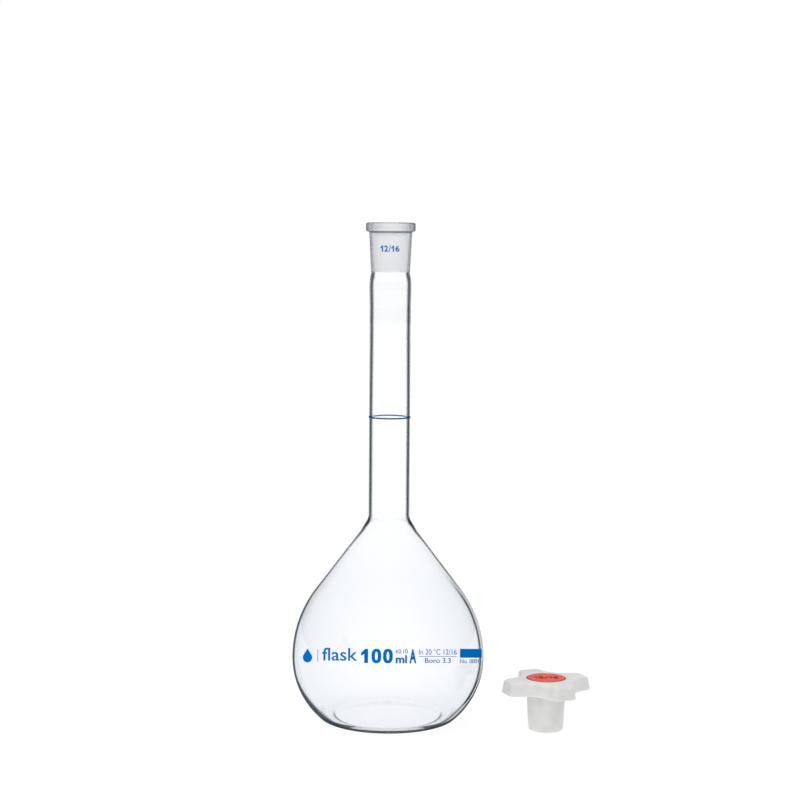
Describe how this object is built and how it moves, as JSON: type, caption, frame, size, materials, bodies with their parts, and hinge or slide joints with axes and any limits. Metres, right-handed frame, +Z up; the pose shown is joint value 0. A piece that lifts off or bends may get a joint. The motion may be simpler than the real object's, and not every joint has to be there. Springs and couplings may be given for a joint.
{
  "type": "volumetric flask",
  "caption": "Pear-shaped laboratory volumetric flask with ring mark and ground socket, its lobed plastic stopper standing beside it.",
  "frame": {"origin": "on the flask's axis, on the bench plane that the foot ring stands on", "axes": "+Z up along the flask's axis towards the mouth, -Y towards the reader of the print, +X towards the stopper standing beside the flask"},
  "size_m": [0.0927, 0.0602, 0.1558],
  "materials": {
    "glass": "clear polished",
    "ground_glass": "finely ground bore, polished outside",
    "blue_enamel": "fired enamel, satin",
    "natural_polyethylene": "natural, faintly translucent",
    "red_plastic": "satin",
    "dark_red_plastic": "matte"
  },
  "bodies": {
    "flask": {"bulb": "glass", "neck": "glass", "ground_socket": "ground_glass", "ring_mark": "blue_enamel", "capacity_print": "blue_enamel", "emblem_print": "blue_enamel", "specification_print": "blue_enamel", "colour_bar_print": "blue_enamel", "socket_size_print": "blue_enamel"},
    "stopper": {"stopper_body": "natural_polyethylene", "stopper_disc": "red_plastic", "disc_print": "dark_red_plastic"}
  },
  "joints": [
    {"name": "stopper_carry", "type": "slide", "parent": "flask", "child": "stopper", "axis": [-0.183, 0.0487, 0.9819], "range_m": [0, 0.26683]}
  ]
}
